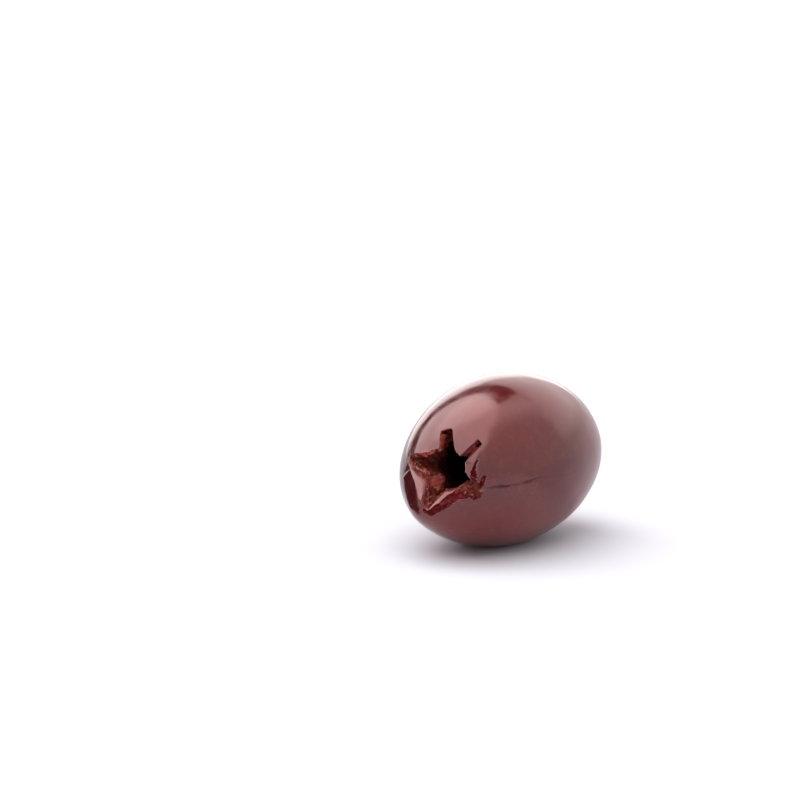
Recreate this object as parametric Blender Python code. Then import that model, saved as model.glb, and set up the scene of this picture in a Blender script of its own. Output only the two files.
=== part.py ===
"""A pitted kalamata olive: one piece of fruit with its skin, and the hole that the pit left.

Metres, +Z up. X runs along the pitting channel, with the star-shaped tear at -X and the round
punch hole at +X. The origin is on the surface that the olive rests on, under the middle of its box.
"""

import math

import bpy
import numpy as np

MM = 0.001

# The fruit
LENGTH = 27.0 * MM              # apex end to stem end
DIAMETER = 17.8 * MM            # across the middle
APEX_TAPER = 0.91               # girth towards the apex end, against an ellipsoid's
STEM_TAPER = 0.995              # girth towards the stem end, against an ellipsoid's
TURN = math.radians(4.9)        # how far the fruit's long axis is turned from the channel
APEX_SIDE = 0.3 * MM            # how far the apex end leans sideways
APEX_DROP = 0.8 * MM            # how far the apex end hangs
BEND_START = 0.25               # where the lean begins, as a share of the half length
BEND_POWER = 2.2                # how late the lean grows
TIP_RISE = 0.55 * MM            # the small pointed tip under the tear
TIP_SPREAD = math.radians(6.5)
TIP_DIRECTION = (-0.940, 0.205, -0.283)
FLAT_DEPTH = 0.25 * MM          # how far the belly is pressed flat where the olive rests

# The pitting channel: its axis is along X, off the middle of the fruit
CHANNEL_SIDE = -0.7 * MM
CHANNEL_RISE = 1.35 * MM
CHAMBER_RADIUS = 3.50 * MM      # the space that the pit left
CHAMBER_DROP = 0.50 * MM        # how far the chamber hangs below the channel's axis
CHAMBER_FULLNESS = 0.5          # how late the chamber widens from its ends
CHAMBER_START = -7.6 * MM
CHAMBER_END = 8.0 * MM
PUNCH_RADIUS = 2.95 * MM        # the round hole at the stem end
PUNCH_LIP = 0.3 * MM

# The tear, seen from outside: angles run anticlockwise from the right.
# Each arm: angle in degrees, reach, half width at its end, and how fast it widens inwards.
ARMS = (
    (110.5, 3.88 * MM, 0.49 * MM, 0.08),
    (172.5, 5.15 * MM, 0.26 * MM, 0.44),
    (242.0, 5.35 * MM, 0.30 * MM, 0.20),
    (324.0, 3.90 * MM, 0.26 * MM, 0.10),
    (407.0, 3.70 * MM, 0.30 * MM, 0.05),
)
# Each flap lies after the arm in the same place of the list: angle in degrees and tip radius.
FLAPS = (
    (140.0, 2.75 * MM),
    (207.0, 2.65 * MM),
    (284.0, 2.32 * MM),
    (367.0, 1.45 * MM),
    (433.0, 1.78 * MM),
)
SHOULDER_SHARPNESS = 9.0        # how tightly a flap's edge turns into an arm
ARM_END_SHARPNESS = 12.0
LIP_RADIUS = 0.28 * MM          # the skin's rounded edge round the tear
FOLDED_FLAP = 2                 # the lower flap is folded into the hole
FOLD_DISTANCE = 3.20 * MM       # from the channel's axis to the fold
FOLD_ANGLE = math.radians(-66.5)
FOLD_SLOPE = 0.9

# The grid: columns round the channel, rings along it
COLUMNS_PER_HALF_ARM = 10
LIP_DISTANCES = (0.0, 0.07 * MM, 0.18 * MM, 0.32 * MM, 0.7 * MM)
STAR_SURROUND = math.radians(38.0)
SURROUND_RINGS = 5
SURROUND_CROWDING = 1.25        # rings are closer together near the tear
BELLY_RINGS = 13
PUNCH_LIP_SHARES = (1.0, 0.45, 0.12, 0.0)
NECK_RINGS = 2
CHAMBER_RINGS = 6
WALL_SHARES = (0.76, 0.52, 0.30, 0.12)
OUTLINE_SAMPLES = 400
SEARCH_STEPS = 44
WIDEST_POLAR = math.radians(70.0)
SMALLEST_SINE = 1e-6

SKIN_COLOUR = (0.16, 0.032, 0.030, 1.0)
SKIN_ROUGHNESS = 0.24
SHARP_ANGLE = math.radians(50.0)

CHANNEL = np.array([0.0, CHANNEL_SIDE, CHANNEL_RISE])


def fruit_axes():
    """The fruit's long axis (towards the stem end), sideways axis and upward axis, as columns."""
    along = np.array([math.cos(TURN), -math.sin(TURN), 0.0])
    side = np.array([math.sin(TURN), math.cos(TURN), 0.0])
    up = np.array([0.0, 0.0, 1.0])
    return np.stack([along, side, up], axis=1)


def outside(points):
    """Below zero inside the plain fruit, above zero outside it."""
    own = points @ fruit_axes()
    run = own[..., 0] / (0.5 * LENGTH)
    lean = np.clip((BEND_START - run) / (1.0 + BEND_START), 0.0, None) ** BEND_POWER
    side = own[..., 1] - APEX_SIDE * lean
    rise = own[..., 2] + APEX_DROP * lean
    apex_part = np.clip(-run, 0.0, 1.0) ** 2
    stem_part = np.clip(run, 0.0, 1.0) ** 2
    girth = 1.0 + (APEX_TAPER - 1.0) * apex_part + (STEM_TAPER - 1.0) * stem_part
    return (side ** 2 + rise ** 2) / (0.5 * DIAMETER * girth) ** 2 + run ** 2 - 1.0


def with_tip(points):
    """Raises the small pointed tip out of the plain fruit."""
    tip = np.array(TIP_DIRECTION) / np.linalg.norm(TIP_DIRECTION)
    outward = points / np.linalg.norm(points, axis=-1, keepdims=True)
    away = np.arccos(np.clip(outward @ tip, -1.0, 1.0)) / TIP_SPREAD
    rise = TIP_RISE * np.exp(1.0 - np.hypot(1.0, away))
    return points + outward * rise[..., None]


def skin(polar, turn):
    """Points of the skin, by an angle polar from the tear's end and an angle turn round the channel."""
    ways = np.stack([-np.cos(polar), -np.sin(polar) * np.cos(turn), np.sin(polar) * np.sin(turn)], axis=-1)
    low = np.zeros(polar.shape)
    high = np.full(polar.shape, LENGTH)
    for _ in range(SEARCH_STEPS):
        middle = 0.5 * (low + high)
        inside = outside(CHANNEL + middle[..., None] * ways) < 0.0
        low = np.where(inside, middle, low)
        high = np.where(inside, high, middle)
    return with_tip(CHANNEL + low[..., None] * ways)


def polar_at(radius, turn, at_tear):
    """The polar angle, at the tear's or the stem's end, where the skin is a radius from the axis."""
    low = np.zeros(turn.shape)
    high = np.full(turn.shape, WIDEST_POLAR)
    for _ in range(SEARCH_STEPS):
        middle = 0.5 * (low + high)
        points = skin(middle if at_tear else math.pi - middle, turn)
        near = np.hypot(points[..., 1] - CHANNEL_SIDE, points[..., 2] - CHANNEL_RISE) < radius
        low = np.where(near, middle, low)
        high = np.where(near, high, middle)
    return low if at_tear else math.pi - low


def tear_radius(turn):
    """The tear's outline, as a radius for each angle round the channel."""
    angles = [math.radians(angle) for angle, _ in FLAPS]
    radii = [radius for _, radius in FLAPS]
    outline = np.interp(turn, angles, radii, period=2.0 * math.pi)
    for angle, reach, half_width, widening in ARMS:
        off = np.angle(np.exp(1j * (turn - math.radians(angle))))
        sine = np.where(np.abs(off) < 0.5 * math.pi, np.abs(np.sin(off)), 1.0) + SMALLEST_SINE
        flank = (half_width + widening * reach) / (sine + widening)
        arm = (flank ** -ARM_END_SHARPNESS + reach ** -ARM_END_SHARPNESS) ** (-1.0 / ARM_END_SHARPNESS)
        outline = (outline ** SHOULDER_SHARPNESS + arm ** SHOULDER_SHARPNESS) ** (1.0 / SHOULDER_SHARPNESS)
    return outline


def column_angles():
    """Each column's angle on the tear's outline, and its angle further out.

    Points are spaced by length along the outline. Each arm's end and each flap's tip keeps its
    own angle, so the columns fan out from the tear without crossing.
    """
    corners = sorted([arm[0] for arm in ARMS] + [flap[0] for flap in FLAPS])
    corners.append(corners[0] + 360.0)
    share = np.arange(COLUMNS_PER_HALF_ARM) / COLUMNS_PER_HALF_ARM
    on_tear = []
    further_out = []
    for start, end in zip(corners[:-1], corners[1:]):
        fine = np.radians(np.linspace(start, end, OUTLINE_SAMPLES))
        radius = tear_radius(fine)
        steps = np.hypot(np.diff(radius * np.cos(fine)), np.diff(radius * np.sin(fine)))
        length = np.concatenate([[0.0], np.cumsum(steps)])
        on_tear.append(np.interp(share * length[-1], length, fine))
        further_out.append(np.radians(start + share * (end - start)))
    return np.concatenate(on_tear), np.concatenate(further_out)


def lip_drop(distance):
    """A quarter-round edge: its depth at a distance from the edge."""
    short = np.clip(LIP_RADIUS - distance, 0.0, LIP_RADIUS)
    return LIP_RADIUS - np.sqrt(LIP_RADIUS ** 2 - short ** 2)


def fold_drop(points):
    """How far the folded flap drops into the hole."""
    right = CHANNEL_SIDE - points[..., 1]
    up = points[..., 2] - CHANNEL_RISE
    across = right * math.cos(FOLD_ANGLE) + up * math.sin(FOLD_ANGLE)
    first = math.radians(ARMS[FOLDED_FLAP][0])
    last = math.radians(ARMS[FOLDED_FLAP + 1][0])
    on_flap = np.mod(np.arctan2(up, right) - first, 2.0 * math.pi) < last - first
    return np.where(on_flap, FOLD_SLOPE * np.clip(FOLD_DISTANCE - across, 0.0, None), 0.0)


def tear_rings(on_tear, further_out):
    """Rings of the skin from the tear's edge out to a plain circle round it."""
    edge_polar = polar_at(tear_radius(on_tear), on_tear, True)
    edge = edge_polar[:, None] * np.stack([np.cos(on_tear), np.sin(on_tear)], axis=1)
    circle = STAR_SURROUND * np.stack([np.cos(further_out), np.sin(further_out)], axis=1)
    reach = np.linalg.norm(circle - edge, axis=1) * 0.5 * LENGTH
    distances = [np.full(reach.shape, distance) for distance in LIP_DISTANCES]
    for step in range(1, SURROUND_RINGS + 1):
        share = (step / SURROUND_RINGS) ** SURROUND_CROWDING
        distances.append(LIP_DISTANCES[-1] + share * (reach - LIP_DISTANCES[-1]))
    rings = []
    for distance in distances:
        plane = edge + (circle - edge) * (distance / reach)[:, None]
        points = skin(np.hypot(plane[:, 0], plane[:, 1]), np.arctan2(plane[:, 1], plane[:, 0]))
        points[:, 0] += lip_drop(distance) + fold_drop(points)
        rings.append(points)
    return rings


def belly_rings(turn):
    """Rings of the skin from the circle round the tear to the punch hole's edge."""
    last_polar = polar_at(np.full(turn.shape, PUNCH_RADIUS + PUNCH_LIP), turn, False)
    rings = []
    for step in range(1, BELLY_RINGS + 1):
        share = step / (BELLY_RINGS + 1)
        rings.append(skin(STAR_SURROUND + share * (last_polar - STAR_SURROUND), turn))
    for share in PUNCH_LIP_SHARES:
        radius = np.full(turn.shape, PUNCH_RADIUS + share * PUNCH_LIP)
        points = skin(polar_at(radius, turn, False), turn)
        points[:, 0] -= PUNCH_LIP - PUNCH_LIP * math.sqrt(1.0 - (1.0 - share) ** 2)
        rings.append(points)
    return rings


def channel_ring(x, radius, drop, turn):
    """A ring round the channel."""
    y = CHANNEL_SIDE - radius * np.cos(turn)
    z = CHANNEL_RISE - drop + radius * np.sin(turn)
    return np.stack([np.broadcast_to(x, turn.shape), y, z], axis=1)


def chamber_rings(turn, punch_edge):
    """Rings from the punch hole's edge, through its neck and along the pit's chamber."""
    rings = []
    for step in range(1, NECK_RINGS + 1):
        share = step / (NECK_RINGS + 1)
        x = punch_edge[:, 0] + share * (CHAMBER_END - punch_edge[:, 0])
        rings.append(channel_ring(x, PUNCH_RADIUS, 0.0, turn))
    for step in range(CHAMBER_RINGS + 1):
        share = step / CHAMBER_RINGS
        swell = max(math.sin(math.pi * share), 0.0) ** CHAMBER_FULLNESS
        radius = PUNCH_RADIUS + swell * (CHAMBER_RADIUS - PUNCH_RADIUS)
        x = CHAMBER_END + share * (CHAMBER_START - CHAMBER_END)
        rings.append(channel_ring(x, radius, swell * CHAMBER_DROP, turn))
    return rings


def wall_rings(tear_edge, chamber_start):
    """Rings of the torn flesh from the chamber back up to the tear's edge."""
    return [tear_edge + share * (chamber_start - tear_edge) for share in WALL_SHARES]


def press_flat(rings):
    """Presses the belly flat where the olive rests, and puts the origin under its middle."""
    points = np.array(rings)
    floor = points[..., 2].min() + FLAT_DEPTH
    points[..., 2] = np.maximum(points[..., 2], floor)
    low = points.min(axis=(0, 1))
    high = points.max(axis=(0, 1))
    return points - np.array([0.5 * (low[0] + high[0]), 0.5 * (low[1] + high[1]), floor])


def olive_rings():
    """The whole surface as rings of points, closed both along the channel and round it."""
    on_tear, further_out = column_angles()
    rings = tear_rings(on_tear, further_out)
    rings += belly_rings(further_out)
    rings += chamber_rings(further_out, rings[-1])
    rings += wall_rings(rings[0], rings[-1])
    return press_flat(rings)


def ring_mesh(name, rings):
    """A closed mesh from rings of points, the last ring joined to the first."""
    ring_count, column_count = rings.shape[:2]
    faces = []
    for ring in range(ring_count):
        here = ring * column_count
        following = ((ring + 1) % ring_count) * column_count
        for column in range(column_count):
            beside = (column + 1) % column_count
            faces.append((here + column, following + column, following + beside, here + beside))
    mesh = bpy.data.meshes.new(name)
    mesh.from_pydata(rings.reshape(-1, 3).tolist(), [], faces)
    mesh.shade_smooth()
    mesh.set_sharp_from_angle(angle=SHARP_ANGLE)
    return mesh


def skin_material():
    material = bpy.data.materials.new("olive_skin")
    material.use_nodes = True
    shader = material.node_tree.nodes["Principled BSDF"]
    shader.inputs["Base Color"].default_value = SKIN_COLOUR
    shader.inputs["Roughness"].default_value = SKIN_ROUGHNESS
    shader.inputs["Metallic"].default_value = 0.0
    return material


def main():
    for old in list(bpy.data.objects):
        bpy.data.objects.remove(old, do_unlink=True)
    mesh = ring_mesh("olive", olive_rings())
    mesh.materials.append(skin_material())
    olive = bpy.data.objects.new("olive", mesh)
    bpy.context.scene.collection.objects.link(olive)


main()
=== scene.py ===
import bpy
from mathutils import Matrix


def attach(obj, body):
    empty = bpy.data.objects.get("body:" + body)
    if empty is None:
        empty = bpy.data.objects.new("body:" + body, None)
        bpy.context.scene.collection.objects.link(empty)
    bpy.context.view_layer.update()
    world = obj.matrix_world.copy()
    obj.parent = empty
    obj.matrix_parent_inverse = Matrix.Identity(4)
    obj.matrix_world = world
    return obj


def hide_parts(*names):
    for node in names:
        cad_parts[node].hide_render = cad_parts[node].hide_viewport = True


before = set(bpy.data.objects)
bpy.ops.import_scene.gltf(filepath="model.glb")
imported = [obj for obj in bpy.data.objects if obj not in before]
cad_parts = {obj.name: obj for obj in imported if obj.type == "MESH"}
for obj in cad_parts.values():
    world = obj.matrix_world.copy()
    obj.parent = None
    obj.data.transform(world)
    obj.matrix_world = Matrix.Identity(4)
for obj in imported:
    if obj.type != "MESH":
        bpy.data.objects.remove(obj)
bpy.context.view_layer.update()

# The looks of a pitted kalamata olive. Metres, +Z up. X runs along the pitting channel, with the
# star-shaped tear at -X. The fruit's own shape repeats the CAD source's values and formulas on a
# finer grid, in the fruit's own frame, whose origin is the middle of the plain fruit.

import math

import bpy
import numpy as np
from mathutils import Matrix, Vector

MM = 0.001


def in_metres(table):
    """A number or a table of millimetres in metres."""
    return tuple(in_metres(part) for part in table) if isinstance(table, tuple) else table * MM


# A distance that is never reached
FAR = 1.0

# The fruit, as in the CAD source
LENGTH = 27.0 * MM
DIAMETER = 17.8 * MM
APEX_TAPER = 0.91
STEM_TAPER = 0.995
TURN = math.radians(4.9)
APEX_SIDE = 0.3 * MM
APEX_DROP = 0.8 * MM
BEND_START = 0.25
BEND_POWER = 2.2
TIP_RISE = 0.55 * MM
TIP_SPREAD = math.radians(6.5)
TIP_DIRECTION = (-0.940, 0.205, -0.283)
FLAT_DEPTH = 0.25 * MM

# The pitting channel, as in the CAD source
CHANNEL_SIDE = -0.7 * MM
CHANNEL_RISE = 1.35 * MM
CHAMBER_RADIUS = 3.50 * MM
CHAMBER_DROP = 0.50 * MM
CHAMBER_FULLNESS = 0.5
CHAMBER_START = -7.6 * MM
CHAMBER_END = 8.0 * MM
PUNCH_RADIUS = 2.95 * MM
PUNCH_LIP = 0.3 * MM
# How uneven the hole's edge is
PUNCH_JAG = 0.09 * MM
PUNCH_LAYERS = ((1.0, 1.3 * MM, 5.1), (0.5, 0.5 * MM, 2.4))

# The tear: the CAD source's star with its outline refined by up to half a millimetre. Each arm has a
# direction, reach, half widths on its clockwise and anticlockwise side, and widening
ARMS = (
    (118.4, 3.93 * MM, 1.10 * MM, 0.15 * MM, 0.02),
    (173.1, 5.11 * MM, 0.33 * MM, 0.52 * MM, 0.35),
    (245.1, 4.51 * MM, 0.78 * MM, 0.05 * MM, 0.19),
    (332.9, 3.00 * MM, 0.09 * MM, 0.09 * MM, 0.34),
    (414.2, 3.56 * MM, 0.66 * MM, 0.05 * MM, 0.00),
)
FLAPS = (
    (141.3, 2.67 * MM), (214.0, 2.45 * MM), (274.8, 2.10 * MM), (363.6, 0.99 * MM), (433.8, 1.50 * MM),
)
ARM_BLEND = math.radians(2.0)
EDGE_JAG = 0.05 * MM
EDGE_LAYERS = ((1.0, 0.55 * MM, 3.3), (0.5, 0.22 * MM, 8.2))
SHOULDER_SHARPNESS = 9.0
ARM_END_SHARPNESS = 12.0
LIP_RADIUS = 0.19 * MM
# Each fold: the flap, the lines that it folds along, each by its distance from the channel's axis and
# its direction, and its slope
FOLDS = (
    (2, ((3.20 * MM, math.radians(-66.5)),), 0.90),
    (1, ((3.40 * MM, math.radians(223.7)), (3.56 * MM, math.radians(197.0))), 0.28),
    (3, ((2.40 * MM, 0.0),), 0.25),
)
FOLD_SOFTNESS = 0.10 * MM
# How many softnesses outside its lines a fold still shows
FOLD_REACH = 5.0
# The angle over which flaps blend past the tip of the arm between them, the share of it nearer in, and
# where it widens in parts of the arm's reach
FLAP_BLEND = math.radians(8.0)
FLAP_BLEND_START = 0.1
FLAP_BLEND_SPAN = (0.85, 1.15)
# How far the torn flesh reaches into the hole below the skin's edge, in millimetres by the angle round
# the channel
LEDGE = (
    (30.0, 0.08), (38.0, 0.38), (55.6, 0.40), (57.5, 0.05), (106.0, 0.06), (111.0, 0.34), (120.0, 0.42),
    (150.0, 0.36), (168.0, 0.50), (180.0, 0.40), (205.0, 0.26), (240.0, 0.26), (252.0, 0.22),
    (265.0, 0.08), (322.0, 0.12), (328.0, 0.40), (338.0, 0.40), (345.0, 0.12),
)
# The share of the room up to the edge across the hole that the ledge may take
LEDGE_ROOM = 0.8
LEDGE_SLOPE = 0.38 * MM
LEDGE_RETURN = (0.90 * MM, 2.60 * MM)
LEDGE_SMOOTHING = 3
# The edge is across the hole where it lies further ahead than this
LEAST_AHEAD = 1e-6
# How much painted shade darkens the flesh, by the angle round the channel
FLESH_SHADE = (
    (25.0, 0.7), (40.0, 0.75), (56.0, 0.75), (70.0, 0.9), (106.0, 0.9), (114.0, 0.80), (119.0, 0.50),
    (140.0, 0.20), (160.0, 0.0), (215.0, 0.0), (236.0, 0.25), (248.0, 0.25), (262.0, 0.6), (325.0, 0.5),
)
# How much painted shade darkens the punch hole's neck
NECK_SHADE = 0.6
# Where the finer grid of the tear's surround ends, as a polar angle
STAR_SURROUND = math.radians(38.0)

# The fine grid
COLUMNS_PER_HALF_ARM = 48
LIP_RINGS = 16
LIP_REACH = 0.75 * MM
LIP_CROWDING = 1.6
SURROUND_RINGS = 40
SURROUND_CROWDING = 1.35
BELLY_RINGS = 52
PUNCH_LIP_RINGS = 8
NECK_RINGS = 6
CHAMBER_RINGS = 30
WALL_RINGS = 46
WALL_CROWDING = 1.5
OUTLINE_SAMPLES = 1500
SEARCH_STEPS = 40
WIDEST_POLAR = math.radians(70.0)
SMALLEST_SINE = 1e-6
SMALLEST_DIVISOR = 1e-9
SMALLEST_NORMAL = 1e-12

CHANNEL = np.array([0.0, CHANNEL_SIDE, CHANNEL_RISE])

# Finer forms of the tear, as (right, up) places seen from outside. Where the skin is torn off: a line and
# a half width in millimetres, and how brown the flesh is
TORN = (
    (((2.60, 1.02), (2.48, 0.65), (2.44, 0.05)), 0.07, 0.0),
    (((2.46, 0.35), (2.45, -0.05)), 0.12, 0.0),
    (((2.45, -0.08), (2.46, -0.32), (2.54, -0.62)), 0.20, 0.0),
    (((2.52, -0.60), (2.68, -0.98)), 0.13, 0.0),
    (((3.42, -0.62), (3.30, -0.92), (3.16, -1.30), (2.95, -1.75)), 0.15, 0.0),
    (((0.85, -1.85), (1.40, -1.65), (2.00, -1.70)), 0.28, 1.0),
    (((2.00, -1.70), (2.45, -1.85), (2.72, -2.20)), 0.42, 1.0),
    (((2.45, -1.75), (2.62, -1.20)), 0.24, 1.0),
    (((2.72, -2.20), (2.72, -2.75)), 0.22, 0.4),
    (((-2.30, -4.25), (-2.05, -4.45), (-1.75, -4.60)), 0.15, 0.0),
)
TORN_DEPTH = 0.20 * MM
TORN_LUMPINESS = 0.5
TORN_LAYERS = ((0.40, 0.35 * MM, 3.1), (0.25, 0.16 * MM, 6.6))
# Where the bare flesh and its brown fade out, in half widths from the line
TORN_EDGE = (0.35, 1.45)
BROWN_EDGE = (0.7, 1.5)
# The band below the lower flap's rolled edge where its skin is gone: its upper and its lower border
BAND_TOP = in_metres((
    (-2.50, -4.40), (-1.90, -4.30), (-1.59, -4.09), (-1.20, -3.66), (-0.71, -3.36), (-0.30, -2.92),
    (0.03, -2.60), (0.44, -2.36), (0.71, -2.06), (0.90, -1.50), (1.50, -1.00),
))
BAND_BORDER = in_metres((
    (-2.40, -4.44), (-1.88, -4.67), (-1.53, -4.78), (-0.94, -4.39), (-0.41, -4.06), (0.21, -3.66),
    (0.79, -3.32), (1.10, -3.03), (1.56, -2.82), (1.90, -2.66), (2.23, -2.58), (2.59, -2.88),
))
BAND_JAG = 0.12 * MM
BAND_LAYERS = ((1.0, 0.5 * MM, 6.2), (0.6, 0.2 * MM, 1.7))
BAND_TOP_JAG = 0.5
BAND_END = 0.1 * MM
# The values of the masks of torn flesh and of the band between which the surface sinks
SINKING = (0.15, 1.0)
BAND_SOFTNESS = 0.09 * MM
BAND_DEPTH = 0.14 * MM
ROLLED_FLAP = 2
ROLLED_WIDTH = 0.62 * MM
ROLLED_HEIGHT = 0.03 * MM
ROLLED_END = (0.7 * MM, 1.1 * MM)
# Raised ridges: a line, a half width and a height in millimetres
RIDGES = (
    (((-5.45, -1.55), (-4.85, -0.95), (-4.35, -0.47)), 0.15, 0.07),
    (((0.90, -2.00), (1.28, -1.85), (1.86, -2.12)), 0.10, 0.14),
)
# The skin's thickness where it is torn, as a distance from the edge along its rounded lip
SKIN_EDGE = 0.04 * MM
SKIN_EDGE_LAYERS = ((0.5, 0.3 * MM, 7.1),)
# The painted highlight along the torn edge of the skin and the flesh, by its distance from the edge
RIM_MIDDLE = 0.03 * MM
RIM_HALF_WIDTH = 0.06 * MM
RIM_STRENGTH = 0.55
RIM_LAYERS = ((0.6, 0.5 * MM, 6.9),)
WEAKEST_RIM = 0.1
# Each lump of flesh in the wall: its turn and half width in degrees, and its depth, half depth and
# height in millimetres
LUMPS = (
    ((214.0, 11.0), (1.55, 0.50, 1.10)),
    ((229.0, 10.0), (1.45, 0.50, 0.60)),
    ((199.0, 8.0), (0.9, 0.35, 0.25)),
    ((243.0, 5.0), (1.0, 0.5, 0.25)),
    ((54.0, 6.0), (0.7, 0.4, 0.12)),
)
# The crease along the side, as (x, z) places
CREASE = in_metres((
    (-11.21, -0.51), (-10.92, -0.43), (-10.46, -0.36), (-10.14, -0.29), (-9.64, -0.34), (-9.11, -0.40),
    (-8.56, -0.26), (-7.97, -0.33), (-7.56, -0.18), (-6.70, -0.09), (-5.0, 0.06), (-2.5, -0.10),
    (0.8, -0.14),
))
# Along x: where the crease comes in, gets fainter and runs out, and where its groove gets deeper
CREASE_BEGINNING = (-11.61 * MM, -10.91 * MM)
CREASE_FADE = (-7.8 * MM, -4.5 * MM)
CREASE_FAINTNESS = 0.6
CREASE_ENDING = (-1.2 * MM, 0.8 * MM)
CREASE_HALF_WIDTH = 0.15 * MM
CREASE_DEPTH = 0.07 * MM
CREASE_DEEPENING = (-10.92 * MM, -9.11 * MM)
CREASE_PATH_LAYERS = ((0.08 * MM, 0.7 * MM, 4.9),)
CREASE_WIDTH_LAYERS = ((0.6, 0.5 * MM, 7.3),)
CREASE_STRENGTH = 0.85
CREASE_STRENGTH_LAYERS = ((0.6, 0.9 * MM, 2.2),)
WEAKEST_CREASE = 0.45
# The depth mask holds millimetres: how deep a point is below the tear's edge or, in the neck and the
# chamber, a share of how far it is from the punch hole's edge where that is less
NECK_DEPTH_SHARE = 0.5
DEEPEST = 10.0
# The chamber's flesh, painted dark as shade, begins past both a distance down from the tear's edge and a
# value of that mask
CHAMBER_DEPTH = 4.8 * MM
NECK_FLESH_DEPTH = 0.35
# The materials' places on the mesh
SKIN_KIND = 0
FLESH_KIND = 1
CHAMBER_KIND = 2

# Bumps of the skin, of bare flesh beside the tear and of the torn flesh inside it
SKIN_LAYERS = ((0.035 * MM, 4.6 * MM, 0.0), (0.012 * MM, 1.9 * MM, 5.3), (0.0035 * MM, 0.7 * MM, 2.9))
BARE_LAYERS = ((0.06 * MM, 0.5 * MM, 9.7), (0.045 * MM, 0.22 * MM, 4.1))
FLESH_STRETCH = (1.0, 1.0, 0.45)
FLESH_STRETCHED_LAYERS = ((0.16 * MM, 0.9 * MM, 2.7),)
FLESH_LAYERS = ((0.10 * MM, 0.36 * MM, 9.1),)
FLESH_BEND_LAYERS = ((0.14 * MM, 0.5 * MM, 5.5),)
FLESH_SETBACK = 0.05 * MM
# Winding crests of the torn flesh: a grain, a shift, a height and a power that narrows them
CRESTS = (0.42 * MM, 4.4, 0.12 * MM, 4)
FURROWS = (0.60 * MM, 7.7, -0.11 * MM, 9)
FINE_CRESTS = (0.20 * MM, 1.3, 0.06 * MM, 3)
CREST_HIGHLIGHT_EDGE = (0.88, 0.97)
FURROW_EDGE = (0.84, 0.97)
# Over how much depth the bumps and the lumps come in below the tear's edge and in the punch hole
BUMPS_COME_IN = (0.03 * MM, 0.35 * MM)
LUMPS_COME_IN = (0.02 * MM, 0.40 * MM)
NECK_BUMPS_COME_IN = (0.0, 0.40 * MM)
NECK_BUMPS = 0.7

# The camera: from where in degrees and how far off it looks, and where the fruit's middle falls in the
# image
CAMERA_AZIMUTH = -60.9
CAMERA_ELEVATION = 13.0
CAMERA_DISTANCE = 0.45
IMAGE_SIZE = 800.0
FRUIT_PIXEL = (501.1, 458.9)
PIXELS_PER_METRE = 9585.0
SENSOR = 36.0
AIMING_STEPS = 30
CAMERA_CLIP = (0.01, 20.0)

# Places of a Mix node's sockets, whose names repeat: the share and then what is mixed
MIX_NUMBER_INPUTS = (0, 2, 3)
MIX_NUMBER_OUTPUT = 0
MIX_COLOUR_INPUTS = (0, 6, 7)
MIX_COLOUR_OUTPUT = 2

# Colours of the skin and of the bare flesh beside the tear, as linear red, green and blue. A pair is what
# blotches vary between
SKIN_DARK = ((0.046, 0.0042, 0.0058), (0.064, 0.0062, 0.0052))
# Painted light: redder skin for the bottom and the top, where the light makes it look redder
SKIN_REDDER_PAINTED_LIGHT = ((0.115, 0.0066, 0.0080), (0.140, 0.0090, 0.0080))
# Painted light: redder skin towards the stem end, where the light makes it look redder
SKIN_STEM_END_PAINTED_LIGHT = (0.125, 0.0095, 0.0100)
SKIN_FRECKLE = (0.115, 0.012, 0.010)
# Painted shade in the crease
SKIN_CREASE_PAINTED_SHADE = (0.030, 0.0008, 0.0036)
# Painted highlight on the lower flap's rolled edge
SKIN_ROLLED_PAINTED_HIGHLIGHT = (0.19, 0.048, 0.047)
# Painted highlight along the skin's torn edge
SKIN_RIM_PAINTED_HIGHLIGHT = (0.38, 0.15, 0.13)
SKIN_GLOSS_TINT = (1.0, 0.5, 0.5, 1.0)
# The lighter of these is partly the bare flesh's own tone and partly painted wet glints
BARE_RAW_AND_PAINTED_GLINT = ((0.068, 0.0026, 0.0040), (0.20, 0.022, 0.022))
BARE_BROWN = ((0.080, 0.0095, 0.0080), (0.20, 0.050, 0.034))
BARE_PALE = (0.55, 0.27, 0.22)
# Colours of the torn flesh and of the pit's chamber
FLESH_RED = ((0.095, 0.0075, 0.0060), (0.23, 0.034, 0.021))
FLESH_FIBRE = (0.045, 0.0040, 0.0035)
# Painted light that lifts the shade of the flesh a little way down in the hole
FLESH_RECESS_PAINTED_LIGHT = (0.24, 0.038, 0.022)
# Painted light on the upper flank of the tear's left arm, whose flesh faces away from the light
FLESH_UPPER_PAINTED_LIGHT = (0.40, 0.062, 0.030)
# The colour of the painted shade
FLESH_SHADED = (0.085, 0.0060, 0.0060)
# Painted shade in the furrows
FLESH_FURROW_PAINTED_SHADE = (0.022, 0.0020, 0.0020)
# Painted highlights on the crests of the torn flesh
FLESH_CREST_PAINTED_HIGHLIGHT = (0.46, 0.19, 0.14)
# Painted shade deep in the hole
FLESH_DEEP_PAINTED_SHADE = (0.028, 0.0046, 0.0036)
# Painted highlight along the flesh's torn edge
FLESH_RIM_PAINTED_HIGHLIGHT = (0.36, 0.13, 0.11)
FLESH_SCATTER = (1.0, 0.25, 0.15)
FIBRE_STRETCH = (1.0, 1.0, 0.35)
# Painted shade in the pit's chamber, lighter and redder near the punch hole
CHAMBER_PAINTED_SHADE = ((0.020, 0.003, 0.003), (0.045, 0.008, 0.005))
CHAMBER_NEAR_PUNCH_LESS_SHADE = ((0.110, 0.015, 0.011), (0.170, 0.027, 0.018))

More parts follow.
